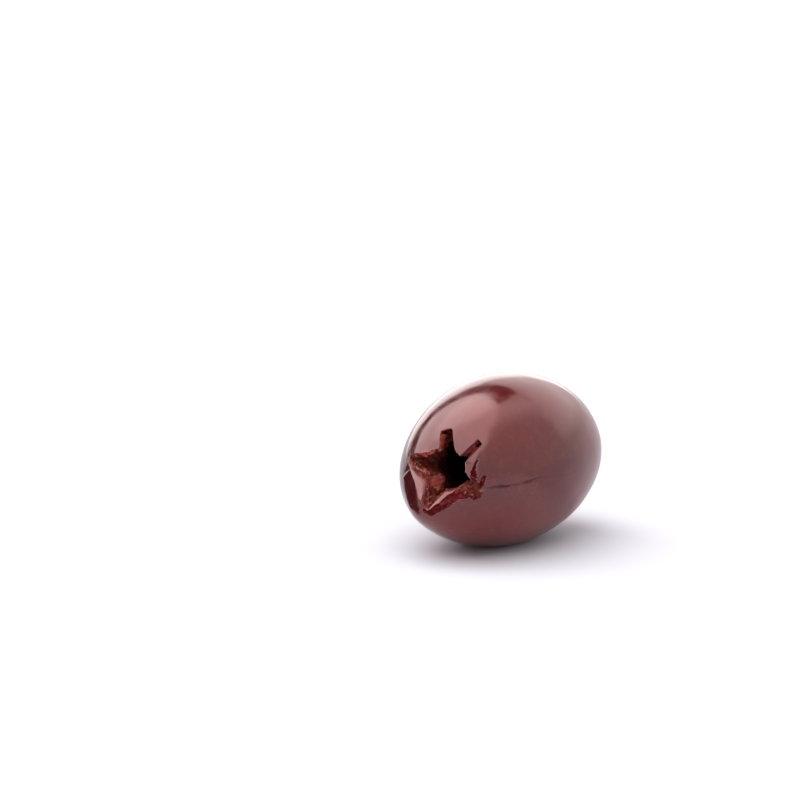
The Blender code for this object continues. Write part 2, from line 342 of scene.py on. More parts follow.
# The floor, and the studio's panels: corners as (azimuth, elevation) in degrees, a softness and a
# brightness. Each covers those before it
FLOOR_COLOUR = (0.65, 0.64, 0.69)
FLOOR_ROUGHNESS = 0.6
FLOOR_HALF_SIZE = 1.5
WHITE = (1.0, 1.0, 1.0, 1.0)
BLACK = (0.0, 0.0, 0.0, 1.0)
STUDIO_BRIGHTNESS = 0.95
NEAR_SIDE_SOFTNESS = 0.02
PANELS = (
    (((-60, 55), (60, 42), (100, 60), (-150, 65)), 0.2, 1.65),
    (((45, 15), (100, 12), (122, 24), (122, 38), (90, 48), (50, 42)), 0.1, 1.5),
    (((91.5, 69), (92.5, 49.5), (104, 46), (119, 38.5), (143, 20), (160, 5), (175, 12), (175, 40)),
     0.02, 0.08),
    (((105, -6), (158, -6), (157, 7), (149, 15), (140, 25), (133, 34), (107, 14)), 0.04, 2.4),
    (((-38, 40), (93, 68), (140.4, 30.2), (153.7, 25.5), (159, 17.5), (168, 8), (-175, 3), (-100, 2)),
     0.035, 2.6),
    (((-150, 60), (90, 82), (104, 68), (130, 50), (160, 45), (-165, 45)), 0.12, 3.7),
    (((-158, -3), (-46, -3), (-46, 26), (-158, 26)), 0.06, 0.12),
)

# Cards that only show in the olive's gloss. Bright ones: a name, azimuths and elevations of the corners
# in degrees, and a brightness
CARD_LIFT = 0.05 * MM
CARD_DISTANCE = 0.35
CARD_CENTRE_HEIGHT = 9.0 * MM
BRIGHT_CARDS = (
    ("left_light", (-162.0, -102.0), (-4.0, 34.0), 4.4),
    ("front_light", (-102.0, -44.0), (-4.0, 32.0), 1.9),
)
FLOOR_LIGHT_AZIMUTHS = (-130.0, -84.0)
FLOOR_LIGHT_DISTANCES = (0.028, 0.34)
FLOOR_LIGHT_CENTRE = (-13.0 * MM, 0.0, CARD_LIFT)
FLOOR_LIGHT_BRIGHTNESS = 4.4
# The dark cards' outlines in millimetres: the upright one as (x, z) and the lying one as (x, y)
UPRIGHT_CARD = (
    (-6.0, 0.1), (-7.0, 5.0), (-7.0, 7.4), (-7.8, 9.5), (-9.2, 11.4), (-12.6, 11.2), (-19.4, 10.4),
    (-21.6, 8.2), (-24.0, 2.0), (-24.5, 0.1),
)
UPRIGHT_CARD_Y = 17.0 * MM
LYING_CARD = (
    (-6.0, 16.9), (-7.6, 14.5), (-13.0, 11.4), (-13.8, 7.2), (-14.7, 6.2), (-17.6, 7.6), (-20.1, 11.6),
    (-24.5, 16.9),
)
LYING_CARD_Z = 0.1 * MM
DARK_CARD_COLOUR = (0.03, 0.01, 0.01)
GREY_CARD_X = (-4.0 * MM, 1400.0 * MM)
GREY_CARD_Y = (-1400.0 * MM, 400.0 * MM)
GREY_CARD_FADE = (-4.0 * MM, 7.0 * MM)
GREY_CARD_COLOUR = (0.46, 0.44, 0.48)

# Random values in a cube of cells, which the noise repeats
LATTICE_SIZE = 32
LATTICE_SEED = 11
LATTICE = np.random.default_rng(LATTICE_SEED).uniform(-1.0, 1.0, (LATTICE_SIZE,) * 3)


def noise(points, grain, shift=0.0):
    """Smooth random values from -1 to 1 in space, whose bumps are about a grain across."""
    place = points / grain + shift
    cell = np.floor(place).astype(int)
    part = place - cell
    part = part ** 3 * (part * (6.0 * part - 15.0) + 10.0)
    total = np.zeros(points.shape[:-1])
    for corner in np.ndindex(2, 2, 2):
        weight = np.prod(np.where(corner, part, 1.0 - part), axis=-1)
        spot = (cell + corner) % LATTICE_SIZE
        total += weight * LATTICE[spot[..., 0], spot[..., 1], spot[..., 2]]
    return total


def layers(points, parts):
    """Layers of noise added up, each a height, a grain and a shift that sets it apart from the others."""
    return sum(height * noise(points, grain, shift) for height, grain, shift in parts)


def crests(points, grain, shift, height, narrowness):
    """Winding crests: how near one each point is, where 1 is on it, and how high it stands there."""
    near = 1.0 - np.abs(noise(points, grain, shift))
    return near, height * near ** narrowness


def search(holds, shape, end):
    """The last values from 0 to an end where a test still holds, found by halving."""
    low = np.zeros(shape)
    high = np.full(shape, end)
    for _ in range(SEARCH_STEPS):
        middle = 0.5 * (low + high)
        held = holds(middle)
        low = np.where(held, middle, low)
        high = np.where(held, high, middle)
    return low


def fade(value, start, end):
    """A smooth step from 0 at the start to 1 at the end."""
    share = np.clip((value - start) / (end - start), 0.0, 1.0)
    return share * share * (3.0 - 2.0 * share)


def between(value, table):
    """Values between a table's rows, each a place and the value there."""
    places, values = zip(*table)
    return np.interp(value, places, values)


def round_turn(turn, table):
    """Values between a table's rows, each an angle in degrees and the value there, all the way round."""
    angles, values = zip(*table)
    return np.interp(turn, np.radians(angles), values, period=2.0 * math.pi)


def turn_from(turn, degrees):
    """How far a turn's angles are from an angle in degrees, the shorter way."""
    return np.angle(np.exp(1j * (turn - math.radians(degrees))))


def ways_round(turn):
    """Level unit vectors by their angles."""
    return np.stack([np.cos(turn), np.sin(turn), np.zeros(turn.shape)], axis=-1)


def fruit_axes():
    along = np.array([math.cos(TURN), -math.sin(TURN), 0.0])
    side = np.array([math.sin(TURN), math.cos(TURN), 0.0])
    up = np.array([0.0, 0.0, 1.0])
    return np.stack([along, side, up], axis=1)


def outside(points):
    """Below zero inside the plain fruit, above zero outside it."""
    own = points @ fruit_axes()
    run = own[..., 0] / (0.5 * LENGTH)
    lean = np.clip((BEND_START - run) / (1.0 + BEND_START), 0.0, None) ** BEND_POWER
    side = own[..., 1] - APEX_SIDE * lean
    rise = own[..., 2] + APEX_DROP * lean
    apex_part = np.clip(-run, 0.0, 1.0) ** 2
    stem_part = np.clip(run, 0.0, 1.0) ** 2
    girth = 1.0 + (APEX_TAPER - 1.0) * apex_part + (STEM_TAPER - 1.0) * stem_part
    return (side ** 2 + rise ** 2) / (0.5 * DIAMETER * girth) ** 2 + run ** 2 - 1.0


def with_tip(points):
    """Raises the small pointed tip out of the plain fruit."""
    tip = np.array(TIP_DIRECTION) / np.linalg.norm(TIP_DIRECTION)
    outward = points / np.linalg.norm(points, axis=-1, keepdims=True)
    away = np.arccos(np.clip(outward @ tip, -1.0, 1.0)) / TIP_SPREAD
    rise = TIP_RISE * np.exp(1.0 - np.hypot(1.0, away))
    return points + outward * rise[..., None]


def skin(polar, turn):
    """Points of the skin, by an angle polar from the tear's end and an angle turn round the channel."""
    ways = np.stack([-np.cos(polar), -np.sin(polar) * np.cos(turn), np.sin(polar) * np.sin(turn)], axis=-1)

    def inside(reach):
        return outside(CHANNEL + reach[..., None] * ways) < 0.0

    reach = search(inside, polar.shape, LENGTH)
    return with_tip(CHANNEL + reach[..., None] * ways)


def end_place(points):
    """How far right of and above the channel's axis points are, seen from outside the tear."""
    return CHANNEL_SIDE - points[..., 1], points[..., 2] - CHANNEL_RISE


def polar_at(radius, turn, at_tear):
    """The polar angle, at the tear's or the stem's end, where the skin is a radius from the axis."""
    def near(polar):
        points = skin(polar if at_tear else math.pi - polar, turn)
        return np.hypot(*end_place(points)) < radius

    polar = search(near, turn.shape, WIDEST_POLAR)
    return polar if at_tear else math.pi - polar


def tear_radius(turn):
    """The tear's outline, as a radius for each angle round the channel."""
    outline = round_turn(turn, FLAPS)
    for angle, reach, clockwise, anticlockwise, widening in ARMS:
        off = turn_from(turn, angle)
        half_width = clockwise + (anticlockwise - clockwise) * fade(off, -ARM_BLEND, ARM_BLEND)
        sine = np.where(np.abs(off) < 0.5 * math.pi, np.abs(np.sin(off)), 1.0) + SMALLEST_SINE
        flank = (half_width + widening * reach) / (sine + widening)
        arm = (flank ** -ARM_END_SHARPNESS + reach ** -ARM_END_SHARPNESS) ** (-1.0 / ARM_END_SHARPNESS)
        outline = (outline ** SHOULDER_SHARPNESS + arm ** SHOULDER_SHARPNESS) ** (1.0 / SHOULDER_SHARPNESS)
    return outline + EDGE_JAG * layers(outline[..., None] * ways_round(turn), EDGE_LAYERS)


def column_angles():
    """Each column's angle on the tear's outline, and its angle further out."""
    corners = sorted([arm[0] for arm in ARMS] + [flap[0] for flap in FLAPS])
    corners.append(corners[0] + 360.0)
    share = np.arange(COLUMNS_PER_HALF_ARM) / COLUMNS_PER_HALF_ARM
    on_tear = []
    further_out = []
    for start, end in zip(corners[:-1], corners[1:]):
        fine = np.radians(np.linspace(start, end, OUTLINE_SAMPLES))
        radius = tear_radius(fine)
        steps = np.hypot(np.diff(radius * np.cos(fine)), np.diff(radius * np.sin(fine)))
        length = np.concatenate([[0.0], np.cumsum(steps)])
        on_tear.append(np.interp(share * length[-1], length, fine))
        further_out.append(np.radians(start + share * (end - start)))
    return np.concatenate(on_tear), np.concatenate(further_out)


def lip_drop(distance):
    """A quarter-round edge: its depth at a distance from the edge."""
    short = np.clip(LIP_RADIUS - distance, 0.0, LIP_RADIUS)
    return LIP_RADIUS - np.sqrt(LIP_RADIUS ** 2 - short ** 2)


def flap_share(flap, points):
    """1 on a flap and 0 on the others, with a soft change past the tips of the arms between them."""
    right, up = end_place(points)
    turn = np.arctan2(up, right)
    radius = np.hypot(right, up)
    share = np.ones(points.shape[:-1])
    for arm, side in ((flap, 1.0), ((flap + 1) % len(ARMS), -1.0)):
        off = side * turn_from(turn, ARMS[arm][0])
        past_tip = fade(radius, *(part * ARMS[arm][1] for part in FLAP_BLEND_SPAN))
        soft = FLAP_BLEND * (FLAP_BLEND_START + past_tip)
        share = share * fade(off, -soft, soft)
    return share


def past_fold(points, lines):
    """How far inside a fold's lines points are, towards the channel's axis."""
    right, up = end_place(points)
    inside = [distance - right * math.cos(angle) - up * math.sin(angle) for distance, angle in lines]
    return np.max(inside, axis=0)


def fold_drop(points):
    """How far the folded flaps drop into the hole."""
    drop = np.zeros(points.shape[:-1])
    for flap, lines, slope in FOLDS:
        inside = past_fold(points, lines)
        soft = 0.5 * (inside + np.hypot(inside, FOLD_SOFTNESS))
        drop += slope * flap_share(flap, points) * np.where(inside > -FOLD_REACH * FOLD_SOFTNESS, soft, 0.0)
    return drop


def tear_rings(on_tear, further_out):
    """Rings of the skin from the tear's edge out to a plain circle round it."""
    edge_polar = polar_at(tear_radius(on_tear), on_tear, True)
    edge = edge_polar[:, None] * ways_round(on_tear)
    circle = STAR_SURROUND * ways_round(further_out)
    reach = np.linalg.norm(circle - edge, axis=1) * 0.5 * LENGTH
    distances = []
    for step in range(LIP_RINGS):
        distances.append(np.full(reach.shape, LIP_REACH * (step / LIP_RINGS) ** LIP_CROWDING))
    for step in range(SURROUND_RINGS + 1):
        share = (step / SURROUND_RINGS) ** SURROUND_CROWDING
        distances.append(LIP_REACH + share * (reach - LIP_REACH))
    rings = []
    for distance in distances:
        plane = edge + (circle - edge) * (distance / reach)[:, None]
        points = skin(np.hypot(plane[:, 0], plane[:, 1]), np.arctan2(plane[:, 1], plane[:, 0]))
        points[:, 0] += lip_drop(distance) + fold_drop(points)
        rings.append(points)
    return rings, distances


def belly_rings(turn):
    """Rings of the skin from the circle round the tear to the punch hole's edge."""
    last_polar = polar_at(np.full(turn.shape, PUNCH_RADIUS + PUNCH_LIP), turn, False)
    rings = []
    for step in range(1, BELLY_RINGS + 1):
        share = step / (BELLY_RINGS + 1)
        rings.append(skin(STAR_SURROUND + share * (last_polar - STAR_SURROUND), turn))
    uneven = PUNCH_JAG * layers(PUNCH_RADIUS * ways_round(turn), PUNCH_LAYERS)
    for step in range(PUNCH_LIP_RINGS + 1):
        share = 1.0 - math.sin(0.5 * math.pi * step / PUNCH_LIP_RINGS)
        radius = PUNCH_RADIUS + share * PUNCH_LIP + (1.0 - share) * uneven
        points = skin(polar_at(radius, turn, False), turn)
        points[:, 0] -= PUNCH_LIP - PUNCH_LIP * math.sqrt(1.0 - (1.0 - share) ** 2)
        rings.append(points)
    return rings


def channel_ring(x, radius, drop, turn):
    """A ring round the channel."""
    y = CHANNEL_SIDE - radius * np.cos(turn)
    z = CHANNEL_RISE - drop + radius * np.sin(turn)
    return np.stack([np.broadcast_to(x, turn.shape), y, z], axis=1)


def chamber_rings(turn, punch_edge):
    """Rings from the punch hole's edge, through its neck and along the pit's chamber."""
    rings = []
    for step in range(1, NECK_RINGS + 1):
        share = step / (NECK_RINGS + 1)
        x = punch_edge[:, 0] + share * (CHAMBER_END - punch_edge[:, 0])
        rings.append(channel_ring(x, PUNCH_RADIUS, 0.0, turn))
    for step in range(CHAMBER_RINGS + 1):
        share = step / CHAMBER_RINGS
        swell = max(math.sin(math.pi * share), 0.0) ** CHAMBER_FULLNESS
        radius = PUNCH_RADIUS + swell * (CHAMBER_RADIUS - PUNCH_RADIUS)
        x = CHAMBER_END + share * (CHAMBER_START - CHAMBER_END)
        rings.append(channel_ring(x, radius, swell * CHAMBER_DROP, turn))
    return rings


def ledge_ways(tear_edge):
    """For each point of the tear's edge, the way into the hole and how far the flesh may reach that way."""
    right, up = end_place(tear_edge)
    edge = np.stack([right, up], axis=1)
    travel = np.roll(edge, -1, axis=0) - np.roll(edge, 1, axis=0)
    travel = travel / np.linalg.norm(travel, axis=1, keepdims=True)
    inward = np.stack([-travel[:, 1], travel[:, 0]], axis=1)
    apart = edge[None] - edge[:, None]
    ahead = (apart * inward[:, None]).sum(axis=-1)
    circle = (apart ** 2).sum(axis=-1) / (2.0 * np.maximum(ahead, SMALLEST_DIVISOR))
    room = np.where(ahead > LEAST_AHEAD, circle, FAR).min(axis=1)
    reach = np.minimum(round_turn(np.arctan2(up, right), LEDGE) * MM, LEDGE_ROOM * room)
    for _ in range(LEDGE_SMOOTHING):
        reach = (np.roll(reach, 1) + reach + np.roll(reach, -1)) / 3.0
    way = np.stack([np.zeros(len(reach)), -inward[:, 0], inward[:, 1]], axis=1)
    return way * reach[:, None]


def wall_rings(tear_edge, chamber_start):
    """Rings of the torn flesh from the chamber back up to the tear's edge."""
    ledge = ledge_ways(tear_edge)
    whole = np.linalg.norm(chamber_start - tear_edge, axis=1)
    rings = []
    for step in range(1, WALL_RINGS):
        share = (1.0 - step / WALL_RINGS) ** WALL_CROWDING
        deep = share * whole
        swell = np.sin(0.5 * math.pi * np.clip(deep / LEDGE_SLOPE, 0.0, 1.0))
        swell = swell * (1.0 - fade(deep, *LEDGE_RETURN))
        rings.append(tear_edge + share * (chamber_start - tear_edge) + ledge * swell[:, None])
    return rings


def olive_rings():
    """The plain surface as rings of points, closed both along the channel and round it.

    Also each point's distance from the tear's edge: on the skin outwards, as a value above zero, and
    down the torn wall, as a value below zero; and each ring's region.
    """
    on_tear, further_out = column_angles()
    tear, distances = tear_rings(on_tear, further_out)
    belly = belly_rings(further_out)
    chamber = chamber_rings(further_out, belly[-1])
    walls = wall_rings(tear[0], chamber[-1])
    regions = ["tear"] * len(tear) + ["belly"] * len(belly)
    regions += ["chamber"] * len(chamber) + ["wall"] * len(walls)
    rings = np.array(tear + belly + chamber + walls)
    from_edge = np.full(rings.shape[:2], FAR)
    from_edge[:len(tear)] = distances
    first_wall = len(rings) - len(walls)
    below = np.zeros(rings.shape[1])
    above = rings[0]
    for ring in range(len(rings) - 1, first_wall - 1, -1):
        below = below + np.linalg.norm(rings[ring] - above, axis=-1)
        above = rings[ring]
        from_edge[ring] = -below
    for ring in range(first_wall - len(chamber), first_wall):
        from_edge[ring] = -below - np.linalg.norm(rings[ring] - above, axis=-1)
    return rings, from_edge, np.array(regions)


def ring_normals(rings):
    """Outward normals of a surface of rings that closes both ways."""
    along = np.roll(rings, -1, axis=0) - np.roll(rings, 1, axis=0)
    around = np.roll(rings, -1, axis=1) - np.roll(rings, 1, axis=1)
    normals = np.cross(along, around)
    return normals / np.maximum(np.linalg.norm(normals, axis=-1, keepdims=True), SMALLEST_NORMAL)


def press_flat(points):
    """Presses the belly flat where the olive rests, and puts the origin under the CAD box's middle."""
    floor = points[..., 2].min() + FLAT_DEPTH
    points[..., 2] = np.maximum(points[..., 2], floor)
    low = points.min(axis=(0, 1))
    high = points.max(axis=(0, 1))
    return np.array([0.5 * (low[0] + high[0]), 0.5 * (low[1] + high[1]), floor])


def line_distance(points, line):
    """The distance, seen from outside the tear, from points to a line through (right, up) places."""
    right, up = end_place(points)
    nearest = np.full(points.shape[:-1], FAR)
    for (r0, u0), (r1, u1) in zip(line[:-1], line[1:]):
        along_r = r1 - r0
        along_u = u1 - u0
        share = ((right - r0) * along_r + (up - u0) * along_u) / (along_r ** 2 + along_u ** 2)
        share = np.clip(share, 0.0, 1.0)
        nearest = np.minimum(nearest, np.hypot(right - r0 - share * along_r, up - u0 - share * along_u))
    return nearest


def torn_masks(rings, on_tear_skin):
    """Near 1 where the skin beside the tear is torn off, and near 1 where its flesh is brown there."""
    torn = np.zeros(rings.shape[:2])
    brown = np.zeros(rings.shape[:2])
    ragged = 1.0 + layers(rings, TORN_LAYERS)
    for line, half_width, brownness in TORN:
        away = line_distance(rings, in_metres(line)) / (half_width * MM * ragged)
        torn = np.maximum(torn, 1.0 - fade(away, *TORN_EDGE))
        brown = np.maximum(brown, brownness * (1.0 - fade(away, *BROWN_EDGE)))
    return np.where(on_tear_skin, torn, 0.0), np.where(on_tear_skin, brown, 0.0)


def band_mask(rings, on_tear_skin):
    """Near 1 in the band of bare flesh below the lower flap's rolled edge."""
    right, up = end_place(rings)
    ragged = BAND_JAG * layers(rings, BAND_LAYERS)
    border = between(right, BAND_BORDER) + ragged
    mask = fade(up, border - BAND_SOFTNESS, border + BAND_SOFTNESS)
    top = between(right, BAND_TOP) + BAND_TOP_JAG * ragged
    mask = mask * (1.0 - fade(up, top - BAND_SOFTNESS, top + BAND_SOFTNESS))
    mask = mask * fade(right, BAND_BORDER[0][0], BAND_BORDER[0][0] + BAND_END)
    mask = mask * (1.0 - fade(right, BAND_BORDER[-1][0] - BAND_END, BAND_BORDER[-1][0]))
    return np.where(on_tear_skin & (up < 0.0), mask, 0.0)


def crease_mask(rings, skin_here):
    """Near 1 along the fine crease that runs back from the tear along the side."""
    x = rings[..., 0]
    centre = between(x, CREASE) + layers(rings, CREASE_PATH_LAYERS)
    width = CREASE_HALF_WIDTH * (1.0 + layers(rings, CREASE_WIDTH_LAYERS))
    strength = fade(x, *CREASE_BEGINNING) * (1.0 - CREASE_FAINTNESS * fade(x, *CREASE_FADE))
    strength = strength * (1.0 - fade(x, *CREASE_ENDING))
    near = np.exp(-((rings[..., 2] - centre) / width) ** 2)
    near = near * np.clip(CREASE_STRENGTH + layers(rings, CREASE_STRENGTH_LAYERS), WEAKEST_CREASE, 1.0)
    return np.where(skin_here & (rings[..., 1] < 0.0), near * strength, 0.0)


def wall_lumps(rings, from_edge, turn):
    """How far the torn wall bulges into the hole, in a few soft lumps."""
    raised = np.zeros(rings.shape[:2])
    for (angle, half_angle), lengths in LUMPS:
        depth, half_depth, height = in_metres(lengths)
        off = turn_from(turn, angle) / math.radians(half_angle)
        down = (-from_edge - depth) / half_depth
        raised += height * np.exp(-off ** 2 - down ** 2)
    return raised


def skin_relief(rings, from_edge, tear_skin, torn_off, band, crease):
    """How far the skin's surface is raised, and a mask of the lower flap's rolled edge."""
    raised = layers(rings, SKIN_LAYERS)
    raised -= CREASE_DEPTH * crease * fade(rings[..., 0], *CREASE_DEEPENING)
    bead = np.sin(math.pi * np.clip(from_edge / ROLLED_WIDTH, 0.0, 1.0))
    bead = bead * (1.0 - fade(end_place(rings)[0], *ROLLED_END))
    rolled = np.where(tear_skin, bead * flap_share(ROLLED_FLAP, rings), 0.0)
    raised += ROLLED_HEIGHT * rolled
    for line, half_width, height in in_metres(RIDGES):
        raised += np.where(tear_skin, height * np.exp(-(line_distance(rings, line) / half_width) ** 2), 0.0)
    lumpy = layers(rings, BARE_LAYERS)
    sunk_band = fade(band, *SINKING)
    sunk = fade(torn_off, *SINKING) * (1.0 - sunk_band)
    raised += sunk_band * (lumpy - BAND_DEPTH) + sunk * (TORN_LUMPINESS * lumpy - TORN_DEPTH)
    return raised, rolled


def flesh_relief(rings, from_edge, turn, neck, past_punch):
    """How far the torn flesh bulges into the hole, and how near its points are to crests and furrows."""
    streaked = rings * np.array(FLESH_STRETCH)
    bent = streaked + layers(rings, FLESH_BEND_LAYERS)[..., None]
    near_crest, crest_height = crests(bent, *CRESTS)
    near_furrow, furrow_height = crests(bent, *FURROWS)
    _, fine_height = crests(streaked, *FINE_CRESTS)
    torn = layers(streaked, FLESH_STRETCHED_LAYERS) + layers(rings, FLESH_LAYERS)
    torn += crest_height + fine_height + furrow_height - FLESH_SETBACK
    deep = -from_edge
    raised = torn * fade(deep, *BUMPS_COME_IN)
    raised += wall_lumps(rings, from_edge, turn) * fade(deep, *LUMPS_COME_IN)
    in_neck = NECK_BUMPS * torn * fade(past_punch, *NECK_BUMPS_COME_IN)
    return np.where(neck, in_neck, raised), near_crest, near_furrow


def shape_details(rings, from_edge, regions):
    """Raises and lowers the plain surface along its normals.

    Returns it with masks for the materials and with the material of the face that each point starts.
    """
    normals = ring_normals(rings)
    skin_here = np.isin(regions, ["tear", "belly"])[:, None] & np.ones(rings.shape[:2], bool)
    tear_skin = (regions == "tear")[:, None] & skin_here
    chamber = (regions == "chamber")[:, None]
    neck = chamber & (rings[..., 0] > CHAMBER_END)
    past_punch = rings[regions == "belly"][-1, :, 0] - rings[..., 0]
    right, up = end_place(rings)
    turn = np.arctan2(up, right)

    torn_off, brown = torn_masks(rings, tear_skin)
    band = band_mask(rings, tear_skin)
    crease = crease_mask(rings, skin_here)
    on_skin, rolled = skin_relief(rings, from_edge, tear_skin, torn_off, band, crease)
    in_flesh, near_crest, near_furrow = flesh_relief(rings, from_edge, turn, neck, past_punch)
    raised = np.where(skin_here, on_skin, in_flesh)

    depth = np.minimum(-from_edge, np.where(chamber, NECK_DEPTH_SHARE * past_punch, FAR)) / MM
    # A painted highlight along the torn edge
    edge_highlight = np.exp(-((from_edge - RIM_MIDDLE) / RIM_HALF_WIDTH) ** 2)
    masks = {
        "bare": np.maximum(torn_off, band),
        "crease": crease,
        "brown": brown,
        "rolled": rolled,
        "depth": np.clip(depth, 0.0, DEEPEST),
        "crest_highlight": np.where(skin_here, 0.0, fade(near_crest, *CREST_HIGHLIGHT_EDGE)),
        "furrow": np.where(skin_here, 0.0, fade(near_furrow, *FURROW_EDGE)),
        "edge_highlight": edge_highlight * np.clip(RIM_STRENGTH + layers(rings, RIM_LAYERS), WEAKEST_RIM, 1.0),
        "shade": np.where(neck, NECK_SHADE, round_turn(turn, FLESH_SHADE)),
    }
    under_skin = tear_skin & (from_edge < SKIN_EDGE * (1.0 + layers(rings, SKIN_EDGE_LAYERS)))
    kinds = np.where(skin_here & ~under_skin, SKIN_KIND, FLESH_KIND)
    deep = (-from_edge > CHAMBER_DEPTH) & (masks["depth"] > NECK_FLESH_DEPTH)
    kinds[deep] = CHAMBER_KIND
    return rings + normals * raised[..., None], masks, kinds


def olive_mesh():
    rings, from_edge, regions = olive_rings()
    middle = press_flat(rings)
    rings, masks, kinds = shape_details(rings, from_edge, regions)
    rings[..., 2] = np.maximum(rings[..., 2], middle[2])
    rings = rings - middle
    ring_count, column_count = rings.shape[:2]
    faces = []
    for ring in range(ring_count):
        here = ring * column_count
        following = ((ring + 1) % ring_count) * column_count
        for column in range(column_count):
            beside = (column + 1) % column_count
            faces.append((here + column, following + column, following + beside, here + beside))
    mesh = bpy.data.meshes.new("olive_fruit")
    mesh.from_pydata(rings.reshape(-1, 3).tolist(), [], faces)
    mesh.shade_smooth()
    mesh.polygons.foreach_set("material_index", kinds.reshape(-1).astype(np.int32))
    for name, values in masks.items():
        layer = mesh.attributes.new(name, "FLOAT", "POINT")
        layer.data.foreach_set("value", values.reshape(-1).astype(np.float32))
    return mesh, middle


class Tree:
    """Short ways to add and join the nodes of a material or a world."""

    def __init__(self, owner):
        owner.use_nodes = True
        self.nodes = owner.node_tree.nodes
        self.links = owner.node_tree.links

    def join(self, value, socket):
        """Links another node's socket, or sets a number or a colour."""
        if isinstance(value, bpy.types.NodeSocket):
            self.links.new(value, socket)
        elif isinstance(value, tuple):
            socket.default_value = (*value, 1.0)
        else:
            socket.default_value = value

    def step(self, value, start, end, low=0.0, high=1.0):
        """A smooth step from low at the start to high at the end."""
        node = self.nodes.new("ShaderNodeMapRange")
        node.interpolation_type = "SMOOTHSTEP"
        self.join(value, node.inputs["Value"])
        for name, number in (("From Min", start), ("From Max", end), ("To Min", low), ("To Max", high)):
            node.inputs[name].default_value = number
        return node.outputs["Result"]

    def blend(self, share, first, second):
        """A number between two others."""
        node = self.nodes.new("ShaderNodeMix")
        for value, place in zip((share, first, second), MIX_NUMBER_INPUTS):
            self.join(value, node.inputs[place])
        return node.outputs[MIX_NUMBER_OUTPUT]

    def times(self, first, second):
        node = self.nodes.new("ShaderNodeMath")
        node.operation = "MULTIPLY"
        self.join(first, node.inputs[0])
        self.join(second, node.inputs[1])
        return node.outputs[0]


class Nodes(Tree):
    """A material of the object or the stage."""

    def __init__(self, name):
        self.material = bpy.data.materials.new(name)
        super().__init__(self.material)
        self.shader = self.nodes["Principled BSDF"]
        self.place = self.nodes.new("ShaderNodeTexCoord").outputs["Object"]

    def set(self, **values):
        for name, value in values.items():
            self.shader.inputs[name.replace("_", " ")].default_value = value

    def feed(self, name, value):
        self.links.new(value, self.shader.inputs[name])

    def mask(self, name):
        node = self.nodes.new("ShaderNodeAttribute")
        node.attribute_name = name
        return node.outputs["Fac"]

    def along(self, axis):
        node = self.nodes.new("ShaderNodeSeparateXYZ")
        self.links.new(self.place, node.inputs["Vector"])
        return node.outputs[axis]

    def noise(self, grain, detail=3.0, roughness=0.5, stretch=None):
        node = self.nodes.new("ShaderNodeTexNoise")
        node.inputs["Scale"].default_value = 1.0 / grain
        node.inputs["Detail"].default_value = detail
        node.inputs["Roughness"].default_value = roughness
        source = self.place
        if stretch is not None:
            mapping = self.nodes.new("ShaderNodeMapping")
            mapping.inputs["Scale"].default_value = stretch
            self.links.new(source, mapping.inputs["Vector"])
            source = mapping.outputs["Vector"]
        self.links.new(source, node.inputs["Vector"])
        return node.outputs["Fac"]

    def mix(self, share, first, second):
        """A colour between two others."""
        node = self.nodes.new("ShaderNodeMix")
        node.data_type = "RGBA"
        for value, place in zip((share, first, second), MIX_COLOUR_INPUTS):
            self.join(value, node.inputs[place])
        return node.outputs[MIX_COLOUR_OUTPUT]

    def bump(self, height, distance, strength, before=None):
        node = self.nodes.new("ShaderNodeBump")
        node.inputs["Distance"].default_value = distance
        node.inputs["Strength"].default_value = strength
        self.links.new(height, node.inputs["Height"])
        if before is not None:
            self.links.new(before, node.inputs["Normal"])
        return node.outputs["Normal"]


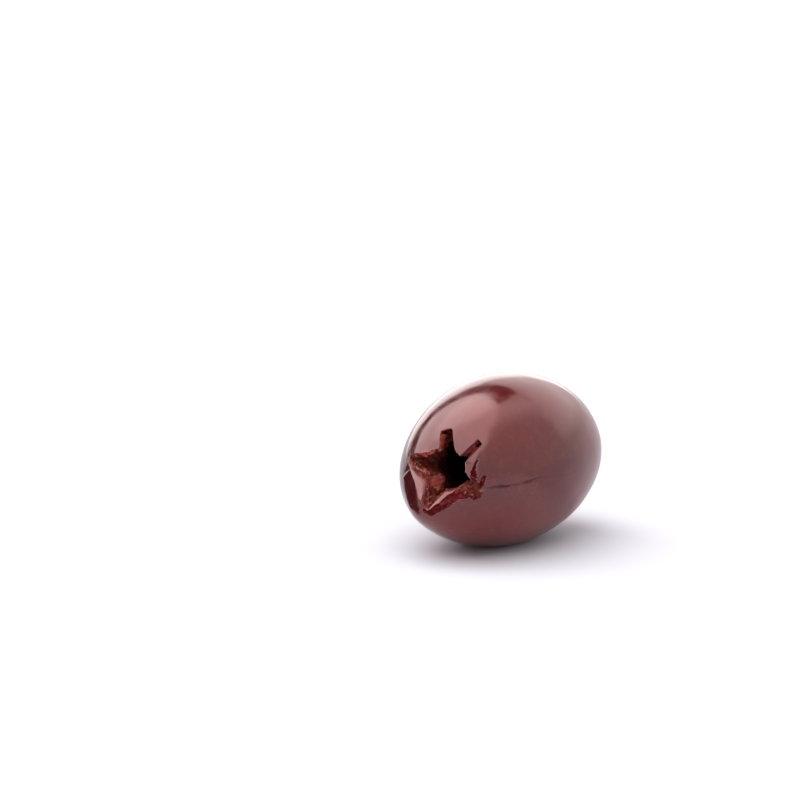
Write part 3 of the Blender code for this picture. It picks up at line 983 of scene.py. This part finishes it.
def skin_material():
    """The skin, and the bare flesh beside the tear where it is torn off."""
    n = Nodes("olive_skin")
    n.set(Specular_Tint=SKIN_GLOSS_TINT, Coat_Roughness=0.05)
    blotches = n.step(n.noise(4.5 * MM, 2.0), 0.38, 0.66)
    colour = n.mix(blotches, *SKIN_DARK)
    redder = n.mix(blotches, *SKIN_REDDER_PAINTED_LIGHT)
    # Painted light: the skin turns redder towards the bottom and towards the top, where the light makes it
    # look redder
    colour = n.mix(n.step(n.along("Z"), 7.5 * MM, 2.5 * MM), colour, redder)
    colour = n.mix(n.step(n.along("Z"), 9.5 * MM, 16.5 * MM, 0.0, 0.5), colour, redder)
    # Painted light: the skin turns redder towards the stem end
    colour = n.mix(n.step(n.along("X"), -1.0 * MM, 9.0 * MM, 0.0, 0.7), colour, SKIN_STEM_END_PAINTED_LIGHT)
    freckles = n.step(n.noise(0.8 * MM, 1.5), 0.46, 0.74)
    colour = n.mix(n.times(freckles, 0.45), colour, SKIN_FRECKLE)
    # Painted shade along the crease
    colour = n.mix(n.mask("crease"), colour, SKIN_CREASE_PAINTED_SHADE)
    # Painted highlight on the lower flap's rolled edge
    colour = n.mix(n.mask("rolled"), colour, SKIN_ROLLED_PAINTED_HIGHLIGHT)
    # Painted highlight along the skin's torn edge
    colour = n.mix(n.times(n.mask("edge_highlight"), 0.8), colour, SKIN_RIM_PAINTED_HIGHLIGHT)

    bare = n.step(n.mask("bare"), 0.03, 0.20)
    blots = n.noise(0.42 * MM, 3.0, 0.6)
    # Lighter blots: partly the bare flesh's own tone, partly painted wet glints
    raw = n.mix(n.step(blots, 0.50, 0.68), *BARE_RAW_AND_PAINTED_GLINT)
    brown = n.mix(n.step(blots, 0.40, 0.60), *BARE_BROWN)
    raw = n.mix(n.mask("brown"), raw, brown)
    pale = n.step(n.noise(0.24 * MM, 3.0, 0.6), 0.62, 0.68)
    raw = n.mix(n.times(pale, n.mask("brown")), raw, BARE_PALE)
    n.feed("Base Color", n.mix(bare, colour, raw))

    dull = n.step(blots, 0.3, 0.7, 0.5, 0.7)
    n.feed("Roughness", n.blend(bare, n.step(n.noise(1.6 * MM, 4.0, 0.6), 0.3, 0.7, 0.12, 0.22), dull))
    n.feed("Specular IOR Level", n.blend(bare, n.step(n.mask("crease"), 0.1, 1.0, 1.0, 0.45), 0.05))
    wet_spots = n.step(n.noise(0.30 * MM, 3.0), 0.60, 0.68, 0.0, 0.35)
    n.feed("Coat Weight", n.blend(bare, n.step(n.mask("crease"), 0.1, 1.0, 0.25, 0.1), wet_spots))
    fine = n.bump(n.noise(0.16 * MM, 3.0, 0.6), 0.004 * MM, 0.5)
    n.feed("Normal", n.bump(n.times(n.noise(0.15 * MM, 3.0, 0.6), bare), 0.04 * MM, 0.8, fine))
    return n.material


def flesh_material():
    """The wet torn flesh of the tear's walls and of the punch hole's neck."""
    n = Nodes("olive_flesh")
    n.set(Coat_Roughness=0.12, Specular_IOR_Level=0.07)
    n.set(Subsurface_Radius=FLESH_SCATTER, Subsurface_Scale=0.25 * MM, Subsurface_Weight=0.15)
    fibres = n.noise(0.22 * MM, 4.0, 0.65, FIBRE_STRETCH)
    lumps = n.noise(0.8 * MM, 4.0, 0.6)
    colour = n.mix(n.step(lumps, 0.40, 0.58), *FLESH_RED)
    colour = n.mix(n.times(n.step(fibres, 0.44, 0.34), 0.7), colour, FLESH_FIBRE)
    # Painted light: the flesh 1.2 to 2.4 mm down is lighter, lifting its shade
    colour = n.mix(n.step(n.mask("depth"), 1.2, 2.4), colour, FLESH_RECESS_PAINTED_LIGHT)
    # Painted light on the upper flank of the tear's left arm, whose flesh faces away from the light
    upper = n.times(n.step(n.along("Z"), 10.2 * MM, 10.9 * MM), n.step(n.mask("depth"), 1.4, 0.4))
    upper = n.times(upper, n.step(n.along("Y"), 0.3 * MM, 2.6 * MM, 0.0, 0.8))
    colour = n.mix(upper, colour, FLESH_UPPER_PAINTED_LIGHT)
    # Painted shade, by the angle round the channel
    colour = n.mix(n.mask("shade"), colour, FLESH_SHADED)
    # Painted shade in the furrows
    colour = n.mix(n.times(n.mask("furrow"), 0.75), colour, FLESH_FURROW_PAINTED_SHADE)
    # Painted highlights on the crests of the torn flesh
    light = n.times(n.mask("crest_highlight"), n.step(n.noise(0.5 * MM, 2.0), 0.42, 0.56, 0.1, 0.6))
    colour = n.mix(n.times(light, n.step(n.mask("shade"), 0.9, 0.2)), colour, FLESH_CREST_PAINTED_HIGHLIGHT)
    # Painted shade deeper in the hole
    colour = n.mix(n.step(n.mask("depth"), 2.6, 4.8), colour, FLESH_DEEP_PAINTED_SHADE)
    # Painted highlight along the flesh's torn edge
    colour = n.mix(n.times(n.mask("edge_highlight"), 0.6), colour, FLESH_RIM_PAINTED_HIGHLIGHT)
    n.feed("Base Color", colour)
    n.feed("Roughness", n.step(fibres, 0.3, 0.7, 0.4, 0.6))
    wet = n.times(n.step(n.mask("depth"), 1.2, 3.0, 0.4, 0.0), n.step(n.noise(0.35 * MM, 3.0), 0.52, 0.64))
    n.feed("Coat Weight", n.times(wet, n.step(n.mask("shade"), 0.6, 0.1)))
    rough = n.bump(fibres, 0.06 * MM, 0.9)
    n.feed("Normal", n.bump(n.noise(0.12 * MM, 2.0), 0.02 * MM, 0.6, rough))
    return n.material


def chamber_material():
    """The wall that the pit leaves, painted dark as shade, redder and less shaded towards the punch hole.
    """
    n = Nodes("olive_chamber")
    n.set(Roughness=0.7, Specular_IOR_Level=0.0)
    blotches = n.step(n.noise(0.9 * MM, 4.0), 0.35, 0.7)
    colour = n.mix(blotches, *CHAMBER_PAINTED_SHADE)
    near_punch = n.mix(blotches, *CHAMBER_NEAR_PUNCH_LESS_SHADE)
    # Painted shade, less of it towards the punch hole
    n.feed("Base Color", n.mix(n.step(n.along("X"), 1.5 * MM, 8.0 * MM), colour, near_punch))
    n.feed("Normal", n.bump(n.noise(0.3 * MM, 4.0), 0.08 * MM, 0.8))
    return n.material


def plain_material(name, colour, roughness):
    n = Nodes(name)
    n.set(Base_Color=(*colour, 1.0), Roughness=roughness, Specular_IOR_Level=0.0)
    return n.material


def light_material(name, brightness):
    n = Nodes(name)
    n.set(Base_Color=BLACK, Emission_Color=WHITE, Emission_Strength=brightness)
    return n.material


def add_object(name, data):
    made = bpy.data.objects.new(name, data)
    bpy.context.scene.collection.objects.link(made)
    return made


def make_olive():
    mesh, middle = olive_mesh()
    for material in (skin_material(), flesh_material(), chamber_material()):
        mesh.materials.append(material)
    olive = add_object("olive_fruit", mesh)
    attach(olive, "root")
    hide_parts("olive")
    return -middle


def level_corners(xs, ys, z):
    """The corners of a level rectangle."""
    return [(xs[0], ys[0], z), (xs[1], ys[0], z), (xs[1], ys[1], z), (xs[0], ys[1], z)]


def flat_object(name, outlines, material):
    """An object with one flat face in each outline."""
    points = []
    faces = []
    for outline in outlines:
        faces.append(tuple(range(len(points), len(points) + len(outline))))
        points += outline
    mesh = bpy.data.meshes.new(name)
    mesh.from_pydata(points, [], faces)
    mesh.materials.append(material)
    return add_object(name, mesh)


def make_floor():
    side = (-FLOOR_HALF_SIZE, FLOOR_HALF_SIZE)
    material = plain_material("floor_white", FLOOR_COLOUR, FLOOR_ROUGHNESS)
    floor = flat_object("floor", [level_corners(side, side, 0.0)], material)


def direction(azimuth, elevation):
    """A unit vector, by degrees; azimuth 0 is towards -Y and 90 towards +X."""
    a = math.radians(azimuth)
    e = math.radians(elevation)
    return Vector((math.sin(a) * math.cos(e), -math.cos(a) * math.cos(e), math.sin(e)))


class Studio(Tree):
    """The brightness round the olive, by direction, in the world's nodes."""

    def __init__(self, brightness):
        world = bpy.data.worlds.new("studio")
        super().__init__(world)
        bpy.context.scene.world = world
        self.way = self.nodes.new("ShaderNodeTexCoord").outputs["Generated"]
        self.total = brightness

    def edge(self, vector, softness):
        """1 on the side of a plane through the olive that the vector points to, 0 on the other."""
        side = self.nodes.new("ShaderNodeVectorMath")
        side.operation = "DOT_PRODUCT"
        side.inputs[1].default_value = vector
        self.links.new(self.way, side.inputs[0])
        return self.step(side.outputs["Value"], -softness, softness)

    def panel(self, corners, softness, brightness):
        """Covers what is behind it with a flat panel. Corners are (azimuth, elevation) in degrees."""
        ways = [direction(*corner) for corner in corners]
        middle = sum(ways, Vector()).normalized()
        mask = self.edge(middle, NEAR_SIDE_SOFTNESS)
        for here, following in zip(ways, ways[1:] + ways[:1]):
            normal = here.cross(following).normalized()
            if normal.dot(middle) < 0.0:
                normal = -normal
            mask = self.times(mask, self.edge(normal, softness))
        self.total = self.blend(mask, self.total, brightness)

    def finish(self):
        background = self.nodes["Background"]
        background.inputs["Color"].default_value = WHITE
        self.links.new(self.total, background.inputs["Strength"])


def make_studio():
    studio = Studio(STUDIO_BRIGHTNESS)
    for corners, softness, brightness in PANELS:
        studio.panel(corners, softness, brightness)
    studio.finish()


def make_card(name, outlines, material):
    """A card beside the olive that only shows in its wet skin and flesh."""
    card = flat_object(name, outlines, material)
    card.visible_camera = False
    card.visible_diffuse = False
    card.visible_shadow = False
    card.visible_transmission = False


def make_bright_card(name, azimuths, elevations, brightness):
    """A bright card at a distance from the tear's end, by the directions of its corners."""
    (start, end), (low, high) = azimuths, elevations
    straight = direction(0.5 * (start + end), 0.0)
    corners = []
    for azimuth, elevation in ((start, low), (end, low), (end, high), (start, high)):
        way = direction(azimuth, elevation)
        corners.append(way * (CARD_DISTANCE / way.dot(straight)) + Vector((0.0, 0.0, CARD_CENTRE_HEIGHT)))
    make_card(name, [corners], light_material(name, brightness))


def make_floor_light():
    """A bright card that lies on the floor some way from the tear's end."""
    start, end = FLOOR_LIGHT_AZIMUTHS
    near, far = FLOOR_LIGHT_DISTANCES
    corners = []
    for azimuth, distance in ((start, near), (end, near), (end, far), (start, far)):
        corners.append(direction(azimuth, 0.0) * distance + Vector(FLOOR_LIGHT_CENTRE))
    make_card("floor_light", [corners], light_material("floor_light", FLOOR_LIGHT_BRIGHTNESS))


def make_dark_cards():
    """A dark card behind the tear's end and one at its foot."""
    upright = [(x * MM, UPRIGHT_CARD_Y, z * MM) for x, z in UPRIGHT_CARD]
    lying = [(x * MM, y * MM, LYING_CARD_Z) for x, y in LYING_CARD]
    make_card("dark_cards", [upright, lying], plain_material("card_black", DARK_CARD_COLOUR, 0.9))


def make_grey_card():
    """A grey card on the floor beside the olive, as pale as the floor at its left end."""
    n = Nodes("card_grey")
    n.set(Roughness=0.8)
    n.feed("Base Color", n.mix(n.step(n.along("X"), *GREY_CARD_FADE), FLOOR_COLOUR, GREY_CARD_COLOUR))
    make_card("grey_card", [level_corners(GREY_CARD_X, GREY_CARD_Y, CARD_LIFT)], n.material)


def image_axes(looking):
    """The image's right and up for a way of looking."""
    right = looking.cross(Vector((0.0, 0.0, 1.0))).normalized()
    return right, right.cross(looking)


def make_camera(fruit_middle):
    """A camera that sees the fruit's middle at its pixel, with no lens shift."""
    focal = PIXELS_PER_METRE * CAMERA_DISTANCE
    back = direction(CAMERA_AZIMUTH, CAMERA_ELEVATION)
    across = (FRUIT_PIXEL[0] - 0.5 * IMAGE_SIZE) / focal
    upward = -(FRUIT_PIXEL[1] - 0.5 * IMAGE_SIZE) / focal
    looking = -back
    for _ in range(AIMING_STEPS):
        right, above = image_axes(looking)
        looking = (-back / (-back).dot(looking) - across * right - upward * above).normalized()
    right, above = image_axes(looking)
    data = bpy.data.cameras.new("camera")
    data.sensor_width = SENSOR
    data.lens = focal / IMAGE_SIZE * SENSOR
    data.clip_start, data.clip_end = CAMERA_CLIP
    camera = add_object("camera", data)
    turned = Matrix((right, above, -looking)).transposed().to_4x4()
    camera.matrix_world = Matrix.Translation(fruit_middle + back * CAMERA_DISTANCE) @ turned
    bpy.context.scene.camera = camera


def main():
    middle = make_olive()
    make_floor()
    make_studio()
    make_dark_cards()
    make_grey_card()
    make_floor_light()
    for card in BRIGHT_CARDS:
        make_bright_card(*card)
    make_camera(Vector(middle))
    bpy.context.scene.view_settings.view_transform = "Standard"


main()
